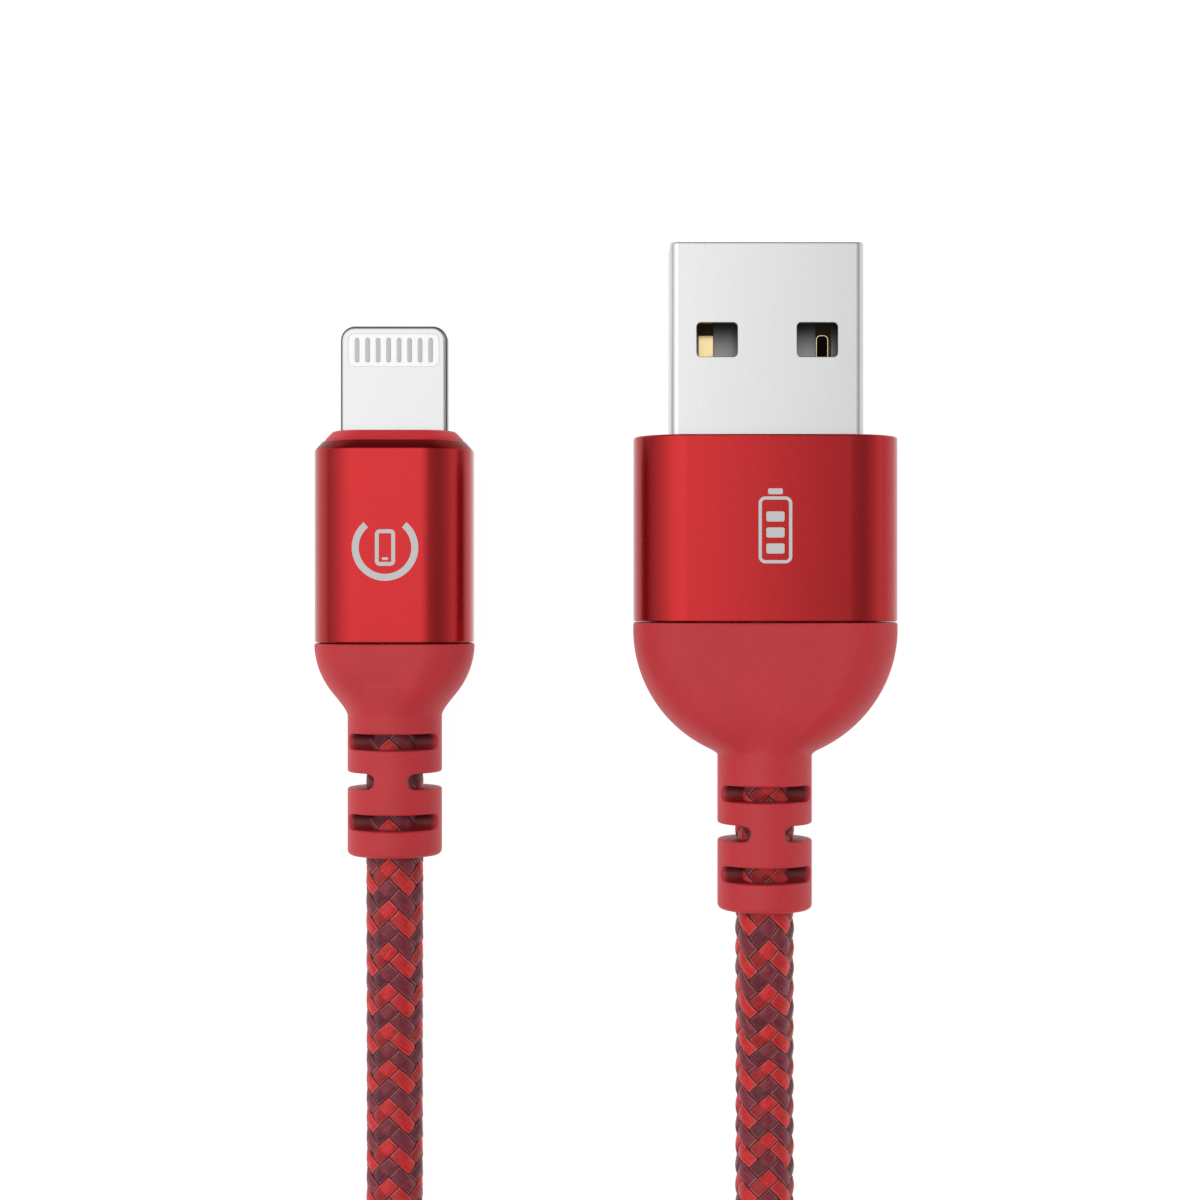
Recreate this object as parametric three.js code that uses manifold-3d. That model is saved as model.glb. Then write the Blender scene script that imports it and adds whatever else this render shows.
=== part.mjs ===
// Charging cable: a USB-A plug and an 8-pad reversible phone plug on one braided cord.
// Millimetres, +Z up. The plugs lie flat side by side on z = 0 and point to +Y.
// The origin is on the surface, under the middle of the box that holds both plugs.
import * as THREE from 'three';
import { mergeVertices } from 'three/addons/utils/BufferGeometryUtils.js';
import Module from 'manifold-3d';

const wasm = await Module();
wasm.setup();

// ---------------------------------------------------------------- driving dimensions
const CORD_D = 3.6; // braided cord
const CORD_LENGTH = 1000; // between the two strain reliefs
const BOOT_D = 5.93; // round strain relief
const BORE_R = 1.95; // cord bore in both strain reliefs
const SLOT_H = 1.0; // height of a flex slot
const SLOT_WEB = 1.03; // half width of the web that a slot leaves
const GAP = 0.3; // between pieces cut by, or facing, a neighbour

// USB-A plug. y is counted from the seam between sleeve and boot, towards the tip.
const USB = {
  x: 10.035, y: -2.8, z: 3.9,
  tip: 23.6, shellW: 12.0, shellH: 4.5, shellWall: 0.3, shellRoot: 4.6,
  holeX: 3.105, holeW: 2.54, holeH: 2.11, holeFromTip: 6.07,
  sleeveW: 16.5, sleeveH: 7.8, sleeveL: 11.57, sleeveWall: 0.55, sleeveR: 3.2, front: 0.7,
  bulbA: 8.26, bulbR: 8.24, bulbStart: -0.47, bulbN: 3.2,
  slots: [-10.66, -13.1, -15.68], end: -18.0,
  contactX: [-3.7, -1.15, 1.15, 3.7], contactW: 0.95,
};
// Phone plug, counted the same way from its own seam.
const PHONE = {
  x: -13.285, y: -4.12, z: 3.45,
  tip: 19.82, tabW: 6.7, tabH: 1.5, tabRoot: 9.9, tabR: 0.9,
  windowW: 5.72, windowTop: 19.4, windowBottom: 17.32, windowR: 0.38,
  padPitch: 0.66, padW: 0.3, padL: 1.56, padMid: 18.36,
  sleeveW: 9.95, sleeveH: 6.9, sleeveL: 12.66, sleeveWall: 0.55, sleeveR: 3.0, chamfer: 0.5,
  collarTop: 13.3, collarW: 7.63, collarH: 4.58,
  bulbA: 5.01, bulbR: 5.01, bulbStart: 0, bulbN: 2.8,
  slots: [-6.13, -8.58, -11.15], end: -13.32,
};
// The spare cord, folded into a tied hank on the same surface.
const HANK = { x: -1.625, top: -45.36, halfW: 20.05, length: 88.6, height: 7.5, waist: 4.4, corner: 9 };
const TIE = { width: 13, thick: 0.9 };

// ---------------------------------------------------------------- finishes
const finish = (color, roughness, metalness) => () => new THREE.MeshStandardMaterial({ color, roughness, metalness });
const anodised = finish(0xc5262e, 0.3, 0.9);
const softRed = finish(0xb8383e, 0.6, 0.0);
const lipRed = finish(0xb32630, 0.4, 0.0);
const steel = finish(0xe2e2e4, 0.22, 1.0);
const gold = finish(0xd8b25a, 0.25, 1.0);
const whitePlastic = finish(0xf2f2f0, 0.4, 0.0);
const greyPlastic = finish(0x9a9a9c, 0.5, 0.0);
const innerMould = finish(0xd8d4cc, 0.6, 0.0);
const brass = finish(0xb99a55, 0.35, 1.0);
const boardGreen = finish(0x1f5f3a, 0.5, 0.0);
const chipBlack = finish(0x202022, 0.4, 0.0);
const braid = finish(0xa82a30, 0.7, 0.0);
const strap = finish(0x3a1418, 0.9, 0.0);
const wireColours = [finish(0xb02020, 0.5, 0), finish(0xe8e8e8, 0.5, 0), finish(0x1f8a3c, 0.5, 0), finish(0x1c1c1c, 0.5, 0)];

// ---------------------------------------------------------------- geometry helpers
function roundedRect(w, h, r, seg = 6) {
  const s = new THREE.Shape();
  const a = w / 2, b = h / 2;
  r = Math.min(r, a - 1e-3, b - 1e-3);
  const pts = [];
  for (const [cx, cy, t0] of [[a - r, b - r, 0], [-a + r, b - r, 0.5], [-a + r, -b + r, 1], [a - r, -b + r, 1.5]]) {
    for (let i = 0; i <= seg; i++) {
      const t = (t0 + 0.5 * i / seg) * Math.PI;
      pts.push(new THREE.Vector2(cx + r * Math.cos(t), cy + r * Math.sin(t)));
    }
  }
  s.setFromPoints(pts);
  return s;
}

// A prism of an XZ outline between two values of y.
function prismY(shape, y0, y1) {
  const g = new THREE.ExtrudeGeometry(shape, { depth: y1 - y0, bevelEnabled: false, steps: 1, curveSegments: 8 });
  g.rotateX(Math.PI / 2);
  g.translate(0, y1, 0);
  return g;
}

// A prism of an XY outline between two values of z.
function prismZ(shape, z0, z1) {
  const g = new THREE.ExtrudeGeometry(shape, { depth: z1 - z0, bevelEnabled: false, steps: 1, curveSegments: 8 });
  g.translate(0, 0, z0);
  return g;
}

function box(x0, x1, y0, y1, z0, z1) {
  const g = new THREE.BoxGeometry(x1 - x0, y1 - y0, z1 - z0);
  g.translate((x0 + x1) / 2, (y0 + y1) / 2, (z0 + z1) / 2);
  return g;
}

// A solid of revolution about Y; the profile is [radius, y] and starts and ends on the axis or closes on itself.
function latheY(profile, seg = 32) {
  return new THREE.LatheGeometry(profile.map(([r, y]) => new THREE.Vector2(r, y)), seg);
}

function toSolid(geometry) {
  const g = geometry.clone();
  g.deleteAttribute('normal');
  g.deleteAttribute('uv');
  const m = mergeVertices(g, 1e-5);
  const solid = new wasm.Manifold(new wasm.Mesh({
    numProp: 3,
    vertProperties: new Float32Array(m.attributes.position.array),
    triVerts: new Uint32Array(m.index.array),
  }));
  return solid;
}

function fromSolid(solid) {
  const m = solid.getMesh();
  const g = new THREE.BufferGeometry();
  g.setAttribute('position', new THREE.BufferAttribute(new Float32Array(m.vertProperties), 3));
  g.setIndex(new THREE.BufferAttribute(new Uint32Array(m.triVerts), 1));
  g.computeVertexNormals();
  return g;
}

function cut(base, ...tools) {
  let s = toSolid(base);
  for (const t of tools) s = s.subtract(toSolid(t));
  return fromSolid(s);
}

// A closed loft through rings of the same number of points, given from low y to high y and counter-clockwise seen from +Y's far side.
function loft(rings) {
  const n = rings[0].length, pos = [], idx = [];
  for (const ring of rings) for (const p of ring) pos.push(...p);
  for (let k = 0; k + 1 < rings.length; k++) {
    for (let i = 0; i < n; i++) {
      const a = k * n + i, b = k * n + (i + 1) % n, c = a + n, d = b + n;
      idx.push(a, c, b, b, c, d);
    }
  }
  const cap = (ring, first, flip) => {
    const mid = ring.reduce((s, p) => [s[0] + p[0] / n, s[1] + p[1] / n, s[2] + p[2] / n], [0, 0, 0]);
    const at = pos.length / 3;
    pos.push(...mid);
    for (let i = 0; i < n; i++) {
      const a = first + i, b = first + (i + 1) % n;
      if (flip) idx.push(at, b, a); else idx.push(at, a, b);
    }
  };
  cap(rings[0], 0, false);
  cap(rings[rings.length - 1], (rings.length - 1) * n, true);
  const g = new THREE.BufferGeometry();
  g.setAttribute('position', new THREE.BufferAttribute(new Float32Array(pos), 3));
  g.setIndex(idx);
  g.computeVertexNormals();
  return g;
}

const ringOf = (shape, y) => shape.getPoints(1).map((p) => [p.x, y, p.y]);

function tube(points, radius, sides, steps) {
  const curve = new THREE.CatmullRomCurve3(points.map((p) => new THREE.Vector3(...p)), false, 'centripetal');
  const s = new THREE.Shape();
  const pts = [];
  for (let i = 0; i < sides; i++) {
    const t = 2 * Math.PI * (i + 0.5) / sides;
    pts.push(new THREE.Vector2(radius * Math.cos(t), radius * Math.sin(t)));
  }
  s.setFromPoints(pts);
  return new THREE.ExtrudeGeometry(s, { steps, extrudePath: curve, bevelEnabled: false });
}

const ramp = (u) => { const t = Math.min(1, Math.max(0, u)); return (1 - Math.cos(Math.PI * t)) / 2; };

const root = new THREE.Group();
function place(name, geometry, material, at, group = root) {
  const mesh = new THREE.Mesh(geometry, material());
  mesh.name = name;
  mesh.position.set(at.x, at.y, at.z);
  group.add(mesh);
  return mesh;
}

// ---------------------------------------------------------------- boot: bulb and slotted strain relief in one moulding
function bootSolid(P) {
  const seg = 7, rings = [], A = P.bulbA, B = P.sleeveH / 2;
  const steps = 9;
  const depth = P.bulbR;
  for (let k = 0; k <= steps; k++) {
    const t = Math.sin(0.5 * Math.PI * (1 - k / steps) * 0.985); // 0 at the seam side, near 1 at the nose
    const a = A * Math.sqrt(Math.max(0, 1 - t * t));
    const b = B * Math.pow(1 - Math.pow(t, P.bulbN), 1 / P.bulbN);
    const r = Math.min(P.sleeveR + (Math.min(a, b) - P.sleeveR) * t, a * 0.98, b * 0.98);
    rings.push(ringOf(roundedRect(2 * a, 2 * b, r, seg), P.bulbStart - depth * t));
  }
  if (P.bulbStart < 0) rings.push(ringOf(roundedRect(2 * A, 2 * B, P.sleeveR, seg), 0));
  let s = toSolid(loft(rings));
  const c = 0.3; // rounding of the relief's end
  s = s.add(toSolid(latheY([[0, P.end], [BOOT_D / 2 - c, P.end], [BOOT_D / 2, P.end + c], [BOOT_D / 2, P.bulbStart - 2.5], [0, P.bulbStart - 2.5]], 32)));
  // Flex slots: the outer two are cut from front and back, the middle one from the sides.
  P.slots.forEach((y, i) => {
    for (const side of [-1, 1]) {
      const lo = side < 0 ? -4 : SLOT_WEB, hi = side < 0 ? -SLOT_WEB : 4;
      const tool = i === 1 ? box(lo, hi, y - SLOT_H / 2, y + SLOT_H / 2, -4, 4) : box(-4, 4, y - SLOT_H / 2, y + SLOT_H / 2, lo, hi);
      s = s.subtract(toSolid(tool));
    }
  });
  // Bore for the cord, and the pocket for ferrule and wires behind the sleeve.
  s = s.subtract(toSolid(latheY([[0, P.end - 1], [BORE_R, P.end - 1], [BORE_R, P.pocket], [2.75, P.pocket], [2.75, 1], [0, 1]], 24)));
  return fromSolid(s);
}

// ---------------------------------------------------------------- USB-A plug
{
  const P = { ...USB, pocket: -6.6 };
  const at = P;
  const g = new THREE.Group();
  root.add(g);
  const put = (name, geometry, material) => place(name, geometry, material, at, g);

  const holeY = P.tip - P.holeFromTip;
  const holes = [-1, 1].map((s) => {
    const h = prismZ(roundedRect(P.holeW, P.holeH, 0.27, 3), -4, 4);
    h.translate(s * P.holeX, holeY, 0);
    return h;
  });
  put('usb_metal_shell', cut(
    prismY(roundedRect(P.shellW, P.shellH, 0.45, 4), P.shellRoot, P.tip),
    prismY(roundedRect(P.shellW - 2 * P.shellWall, P.shellH - 2 * P.shellWall, 0.2, 2), P.shellRoot - 1, P.tip + 1),
    ...holes), steel);
  put('usb_tongue', box(-5.55, 5.55, 4.9, P.tip - 0.7, -1.9, -0.22), greyPlastic);
  P.contactX.forEach((x, i) => {
    // A flat strip whose nose dips to the tongue; the tail is soldered to a wire.
    const s = new THREE.Shape();
    const far = P.tip - 1.5;
    s.setFromPoints([[3.1, -0.16], [far - 0.8, -0.16], [far, -0.19], [far, -0.1], [far - 0.8, 0.1], [3.1, 0.1]].map((p) => new THREE.Vector2(...p)));
    const e = new THREE.ExtrudeGeometry(s, { depth: P.contactW, bevelEnabled: false });
    // outline is (y, z), thickness along x
    e.applyMatrix4(new THREE.Matrix4().set(0, 0, 1, x - P.contactW / 2, 1, 0, 0, 0, 0, 1, 0, 0, 0, 0, 0, 1));
    put(`usb_contact_${i + 1}`, e, gold);
  });
  put('usb_inner_mould', cut(
    prismY(roundedRect(15.2, 6.5, 2.6, 6), 0.6, 10.6),
    prismY(roundedRect(P.shellW + 2 * GAP, P.shellH + 2 * GAP, 0.75, 4), 4.3, 11),
    prismY(roundedRect(10.2, 3.4, 0.8, 4), 0, 4.6)), innerMould);
  put('usb_sleeve', cut(
    prismY(roundedRect(P.sleeveW, P.sleeveH, P.sleeveR, 8), 0.06, P.sleeveL),
    prismY(roundedRect(P.sleeveW - 2 * P.sleeveWall, P.sleeveH - 2 * P.sleeveWall, P.sleeveR - P.sleeveWall, 8), -1, P.sleeveL - P.front),
    prismY(roundedRect(P.shellW + 0.1, P.shellH + 0.1, 0.5, 4), 5, P.sleeveL + 1)), anodised);
  put('usb_boot', bootSolid(P), softRed);
  put('usb_crimp_ferrule', latheY([[1.95, -6.1], [2.42, -6.1], [2.42, -2.3], [1.95, -2.3], [1.95, -6.1]], 24), brass);
  P.contactX.forEach((x, i) => {
    const sx = [-1, -1, 1, 1][i] * (i === 0 || i === 3 ? 0.95 : 0.5), sz = i === 0 || i === 3 ? -0.45 : 0.75;
    put(`usb_wire_${i + 1}`, tube([[sx, -1.7, sz], [sx, -0.6, sz], [sx + (x - sx) * 0.35, 0.9, 0.3 + 0.3 * sz], [x, 2.9, 0.58], [x, 4.2, 0.58]], 0.4, 8, 10), wireColours[i]);
  });
  put('usb_cord_entry', latheY([[0, P.end], [CORD_D / 2, P.end], [CORD_D / 2, -2.2], [0, -2.2]], 16), braid);
}

// ---------------------------------------------------------------- phone plug
{
  const P = { ...PHONE, pocket: -3.1 };
  const at = P;
  const g = new THREE.Group();
  root.add(g);
  const put = (name, geometry, material) => place(name, geometry, material, at, g);

  // Tab: a plate with round tip corners and a window through it.
  const tabOutline = new THREE.Shape();
  const pts = [[-P.tabW / 2, P.tabRoot], [P.tabW / 2, P.tabRoot]];
  for (const [sx, t0] of [[1, 0], [-1, 0.5]]) {
    for (let i = 0; i <= 6; i++) {
      const t = (t0 + 0.5 * i / 6) * Math.PI;
      pts.push([sx * (P.tabW / 2 - P.tabR) + P.tabR * Math.cos(t), P.tip - P.tabR + P.tabR * Math.sin(t)]);
    }
  }
  tabOutline.setFromPoints(pts.map((p) => new THREE.Vector2(...p)));
  const winMid = (P.windowTop + P.windowBottom) / 2, winH = P.windowTop - P.windowBottom;
  const windowTool = prismZ(roundedRect(P.windowW, winH, P.windowR, 4), -2, 2);
  windowTool.translate(0, winMid, 0);
  // The pocket behind the window carries the contact leads back to the board.
  put('phone_tab_frame', cut(prismZ(tabOutline, -P.tabH / 2, P.tabH / 2), windowTool, box(-2.5, 2.5, 9, 17.5, -0.4, 0.4)), steel);
  const insert = prismZ(roundedRect(P.windowW - 0.1, winH - 0.1, P.windowR - 0.05, 4), -0.64, 0.64);
  insert.translate(0, winMid, 0);
  put('phone_insulator', insert, whitePlastic);
  for (const [face, z0, z1] of [['a', 0.66, 0.75], ['b', -0.75, -0.66]]) {
    for (let i = 0; i < 8; i++) {
      const pad = prismZ(roundedRect(P.padW, P.padL, P.padW / 2, 3), z0, z1);
      pad.translate((i - 3.5) * P.padPitch, P.padMid, 0);
      put(`phone_pad_${face}${i + 1}`, pad, gold);
    }
  }
  put('phone_lead_carrier', box(-2.2, 2.2, 8.9, 17.1, -0.33, 0.33), greyPlastic);
  put('phone_board', box(-2.6, 2.6, 1.9, 8.6, -0.3, 0.3), boardGreen);
  put('phone_controller', box(-1.5, 1.5, 4.8, 7.8, 0.35, 0.95), chipBlack);
  put('phone_shield_can', cut(box(-2.3, 2.3, 4.2, 8.4, 0.35, 1.7), box(-2.1, 2.1, 4.4, 8.2, 0, 1.5)), steel);
  put('phone_inner_mould', cut(
    prismY(roundedRect(8.65, 5.6, 2.3, 6), 0.6, 11.2),
    prismY(roundedRect(P.tabW + 2 * GAP, P.tabH + 2 * GAP, 0.5, 3), 9.6, 12),
    box(-2.95, 2.95, 0, 10, -0.7, 2.05)), innerMould);
  put('phone_collar', cut(
    loft([
      ringOf(roundedRect(8.75, 5.7, 2.5, 8), 11.5),
      ringOf(roundedRect(8.75, 5.7, 2.5, 8), P.sleeveL),
      ringOf(roundedRect(P.collarW, P.collarH, 2.0, 8), P.collarTop),
    ]),
    prismY(roundedRect(P.tabW + 0.1, P.tabH + 0.1, 0.05, 2), 11, 14)), lipRed);
  const c = P.chamfer;
  put('phone_sleeve', cut(
    loft([
      ringOf(roundedRect(P.sleeveW, P.sleeveH, P.sleeveR, 8), 0.06),
      ringOf(roundedRect(P.sleeveW, P.sleeveH, P.sleeveR, 8), P.sleeveL - 0.56),
      ringOf(roundedRect(P.sleeveW - 2 * c, P.sleeveH - 2 * c, P.sleeveR - c, 8), P.sleeveL),
    ]),
    prismY(roundedRect(P.sleeveW - 2 * P.sleeveWall, P.sleeveH - 2 * P.sleeveWall, P.sleeveR - P.sleeveWall, 8), -1, P.sleeveL + 1)), anodised);
  put('phone_boot', bootSolid(P), softRed);
  put('phone_crimp_ferrule', latheY([[1.95, -2.8], [2.42, -2.8], [2.42, -0.9], [1.95, -0.9], [1.95, -2.8]], 24), brass);
  [-1.7, -0.6, 0.6, 1.7].forEach((x, i) => {
    const sx = [-1, -1, 1, 1][i] * (i === 0 || i === 3 ? 0.95 : 0.45), sz = i === 0 || i === 3 ? -0.4 : 0.75;
    put(`phone_wire_${i + 1}`, tube([[sx, -0.5, sz], [sx, 0.2, sz], [x, 1.6, 0.72], [x, 2.6, 0.72], [x, 3.7, 0.72]], 0.34, 8, 10), wireColours[i]);
  });
  put('phone_cord_entry', latheY([[0, P.end], [CORD_D / 2, P.end], [CORD_D / 2, -0.8], [0, -0.8]], 16), braid);
}

// ---------------------------------------------------------------- cord, hank and tie
const origin = { x: 0, y: 0, z: 0 };
function hankOutline() {
  const s = new THREE.Shape(), H = HANK;
  const y1 = H.top, y0 = H.top - H.length, mid = (y0 + y1) / 2;
  const half = (y) => H.halfW - H.waist * (1 - ramp(Math.abs(y - mid) / 24.3));
  const pts = [];
  for (let i = 0; i <= 5; i++) {
    const t = 0.5 * Math.PI * i / 5;
    pts.push([H.halfW - H.corner + H.corner * Math.cos(t), y1 - H.corner + H.corner * Math.sin(t)]);
  }
  for (let i = 0; i <= 5; i++) {
    const t = 0.5 * Math.PI * (1 + i / 5);
    pts.push([-H.halfW + H.corner + H.corner * Math.cos(t), y1 - H.corner + H.corner * Math.sin(t)]);
  }
  const flank = [];
  for (let i = -6; i <= 6; i++) flank.push(mid + 24.2 * i / 6);
  for (const y of [...flank].reverse()) pts.push([-half(y), y]);
  for (let i = 0; i <= 9; i++) {
    const t = Math.PI * (1 + i / 9), r = H.halfW;
    pts.push([r * Math.cos(t), y0 + r + r * Math.sin(t)]);
  }
  for (const y of flank) pts.push([half(y), y]);
  s.setFromPoints(pts.map(([x, y]) => new THREE.Vector2(x + H.x, y)));
  return s;
}
const hankMid = HANK.top - HANK.length / 2;
const waistHalf = HANK.halfW - HANK.waist;
const groove = TIE.thick + GAP;
place('cord_hank', cut(prismZ(hankOutline(), 0, HANK.height),
  box(-40, 40, hankMid - TIE.width / 2 - GAP, hankMid + TIE.width / 2 + GAP, -1, groove)), braid, origin);
{
  const w = waistHalf + 1.1, w2 = TIE.width / 2;
  place('hank_tie', cut(
    box(HANK.x - w - TIE.thick, HANK.x + w + TIE.thick, hankMid - w2, hankMid + w2, 0, HANK.height + GAP + TIE.thick),
    box(HANK.x - w, HANK.x + w, hankMid - w2 - 1, hankMid + w2 + 1, TIE.thick, HANK.height + GAP)), strap, origin);
}
// Each free run leaves its strain relief straight, comes down to the surface and goes into the hank.
const rim = HANK.top + GAP + 0.6; // the runs reach the hank at a slant
place('cord_run_usb', tube([
  [USB.x, USB.y + USB.end - GAP, USB.z], [USB.x, -24.0, 3.6], [USB.x, -28.0, 2.68], [USB.x, -31.5, 2.3],
  [USB.x, -35.5, 2.86], [USB.x + 0.05, -39.5, 4.05], [USB.x + 0.3, -42.2, 4.75], [USB.x + 0.6, rim, 5.1],
], CORD_D / 2, 8, 10), braid, origin);
place('cord_run_phone', tube([
  [PHONE.x, PHONE.y + PHONE.end - GAP, PHONE.z], [PHONE.x, -20.5, 3.2], [PHONE.x, -25.0, 2.35], [PHONE.x, -29.5, 1.9],
  [PHONE.x, -34.5, 1.84], [PHONE.x - 0.05, -39.5, 1.84], [PHONE.x - 0.3, -42.2, 1.84], [PHONE.x - 0.6, rim, 1.84],
], CORD_D / 2, 8, 10), braid, origin);

export default root;
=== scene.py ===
import math

import bpy
import bmesh
import numpy as np
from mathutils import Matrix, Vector


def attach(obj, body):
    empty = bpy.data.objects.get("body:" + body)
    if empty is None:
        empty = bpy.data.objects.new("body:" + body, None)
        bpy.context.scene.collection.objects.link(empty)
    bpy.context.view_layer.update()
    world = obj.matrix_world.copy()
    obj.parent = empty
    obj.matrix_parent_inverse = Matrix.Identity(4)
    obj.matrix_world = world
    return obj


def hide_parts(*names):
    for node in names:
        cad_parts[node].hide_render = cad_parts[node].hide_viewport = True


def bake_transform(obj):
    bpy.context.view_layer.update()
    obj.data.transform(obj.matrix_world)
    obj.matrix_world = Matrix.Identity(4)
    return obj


# Charging cable: a USB-A plug and an 8-pad phone plug on one braided cord.
# Lengths in this script are millimetres in the row frame until a mesh is made, in metres.
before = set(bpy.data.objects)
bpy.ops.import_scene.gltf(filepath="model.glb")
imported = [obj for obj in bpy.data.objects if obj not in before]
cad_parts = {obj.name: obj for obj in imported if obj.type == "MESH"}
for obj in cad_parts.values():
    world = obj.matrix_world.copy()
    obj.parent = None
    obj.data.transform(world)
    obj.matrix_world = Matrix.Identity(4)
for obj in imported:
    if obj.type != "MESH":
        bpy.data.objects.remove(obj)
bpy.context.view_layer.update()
MM = 0.001

USB_AT = (10.035, -2.8, 3.9)
PHONE_AT = (-13.285, -4.12, 3.45)
USB_END, PHONE_END = -18.0, -13.32  # y of the strain reliefs' ends, from each seam
CORD_R = 1.86
PICK = 1.245  # one step of the braid along the cord
CARRIERS = 8  # strands each way

# ---------------------------------------------------------------- camera
S_PX = 15.88  # pixels per millimetre at the plugs' middle height
cam_data = bpy.data.cameras.new("camera")
cam_data.sensor_width = 36.0
cam_data.lens = 64.5
cam_data.clip_start, cam_data.clip_end = 0.001, 10
camera = bpy.data.objects.new("camera", cam_data)
bpy.context.scene.collection.objects.link(camera)
camera.location = (-0.325 * MM, -1.4 * MM, 139.3 * MM)
camera.rotation_euler = (0, 0, 0)
bpy.context.scene.camera = camera
bpy.context.scene.view_settings.view_transform = "Standard"
bpy.context.scene.view_settings.look = "None"


# ---------------------------------------------------------------- mesh helpers
def ramp(u):
    t = np.clip(u, 0, 1)
    return (1 - np.cos(np.pi * t)) / 2


def sstep(x, a, b):
    t = np.clip((x - a) / (b - a), 0, 1)
    return t * t * (3 - 2 * t)


def make(name, verts, faces, mat, at=(0, 0, 0), sharp=None, uv=None):
    """A mesh object from millimetre points. uv holds one pair for each corner of each face."""
    me = bpy.data.meshes.new(name)
    v = (np.array(verts, float) + np.array(at, float)) * MM
    me.from_pydata(v.tolist(), [], [list(map(int, f)) for f in faces])
    me.update()
    me.polygons.foreach_set("use_smooth", [True] * len(me.polygons))
    if uv is not None:
        layer = me.uv_layers.new(name="braid")
        layer.data.foreach_set("uv", np.array(uv, np.float32).ravel())
    if sharp is not None:
        me.set_sharp_from_angle(angle=math.radians(sharp))
    me.update()
    o = bpy.data.objects.new(name, me)
    bpy.context.scene.collection.objects.link(o)
    me.materials.append(mat)
    return o


def rr(w, h, r, y, n=14):
    """A rounded rectangle in XZ at y, with points close to each corner's ends, so that the flats shade flat."""
    a, b = w / 2, h / 2
    r = min(r, a - 0.02, b - 0.02)
    pts = []
    corners = [(a - r, b - r, 0), (-a + r, b - r, 1), (-a + r, -b + r, 2), (a - r, -b + r, 3)]
    for k, (cx, cz, q) in enumerate(corners):
        arc = [
            (cx + r * math.cos(math.pi / 2 * (q + i / n)), cz + r * math.sin(math.pi / 2 * (q + i / n)))
            for i in range(n + 1)
        ]
        nx, nz, nq = corners[(k + 1) % 4]
        nxt = (nx + r * math.cos(math.pi / 2 * nq), nz + r * math.sin(math.pi / 2 * nq))
        if k == 3:
            nxt = (a, b - r)
        last = arc[-1]
        f = min(0.3, 0.06 / max(1e-6, math.dist(last, nxt)))
        pts += arc
        pts.append((last[0] + (nxt[0] - last[0]) * f, last[1] + (nxt[1] - last[1]) * f))
        pts.append((nxt[0] + (last[0] - nxt[0]) * f, nxt[1] + (last[1] - nxt[1]) * f))
    return [(x, y, z) for x, z in pts]


def rings_mesh(rings, closed=False, caps=True):
    """Quads between rings of the same count. closed joins the last ring to the first, and otherwise the ends are capped."""
    n = len(rings[0])
    verts = [p for ring in rings for p in ring]
    faces = []
    m = len(rings)
    for k in range(m if closed else m - 1):
        a0, b0 = k * n, ((k + 1) % m) * n
        for i in range(n):
            j = (i + 1) % n
            faces.append((a0 + i, a0 + j, b0 + j, b0 + i))
    if not closed and caps:
        faces.append(tuple(range(n))[::-1])
        faces.append(tuple((m - 1) * n + i for i in range(n)))
    return verts, faces


def fix_normals(o):
    bm = bmesh.new()
    bm.from_mesh(o.data)
    bmesh.ops.recalc_face_normals(bm, faces=bm.faces)
    bm.to_mesh(o.data)
    bm.free()
    o.data.update()
    return o


def boolean(o, *cutters):
    """Cuts the cutters out of o and applies the result."""
    for c in cutters:
        mod = o.modifiers.new("cut", "BOOLEAN")
        mod.operation = "DIFFERENCE"
        mod.solver = "EXACT"
        mod.object = c
        bpy.context.view_layer.update()
        dg = bpy.context.evaluated_depsgraph_get()
        me = bpy.data.meshes.new_from_object(o.evaluated_get(dg))
        o.modifiers.clear()
        old = o.data
        o.data = me
        bpy.data.meshes.remove(old)
        bpy.data.objects.remove(c)
    return o


def prism_xy(name, outline, z0, z1, mat, at=(0, 0, 0), edge=0.0, steps=3, sharp=30):
    """A prism of an outline function inset(e) -> points in XY, its top and bottom edges rounded by edge."""
    rings = []
    for k in range(steps + 1) if edge else [0]:
        a = math.pi / 2 * (k / steps) if edge else math.pi / 2
        rings.append([(x, y, z0 + edge * (1 - math.sin(a))) for x, y in outline(edge * (1 - math.cos(math.pi / 2 - a)) if edge else 0)])
    low = rings
    high = [[(x, y, z1 - (z - z0)) for x, y, z in ring] for ring in reversed(low)]
    verts, faces = rings_mesh(low + high)
    return fix_normals(make(name, verts, faces, mat, at, sharp=sharp))


def flat_ring_of(outer, inner, z0, z1):
    return rings_mesh([[(x, y, z0) for x, y in outer], [(x, y, z1) for x, y in outer], [(x, y, z1) for x, y in inner], [(x, y, z0) for x, y in inner]], closed=True)


def rect_outline(w, h, r, cx=0, cy=0, n=8):
    def inset(e):
        a, b, rad = w / 2 - e, h / 2 - e, max(r - e, 0.01)
        out = []
        for sx, sy, q in [(1, 1, 0), (-1, 1, 1), (-1, -1, 2), (1, -1, 3)]:
            for i in range(n + 1):
                t = math.pi / 2 * (q + i / n)
                out.append((cx + sx * (a - rad) + rad * math.cos(t), cy + sy * (b - rad) + rad * math.sin(t)))
        return out
    return inset


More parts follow.
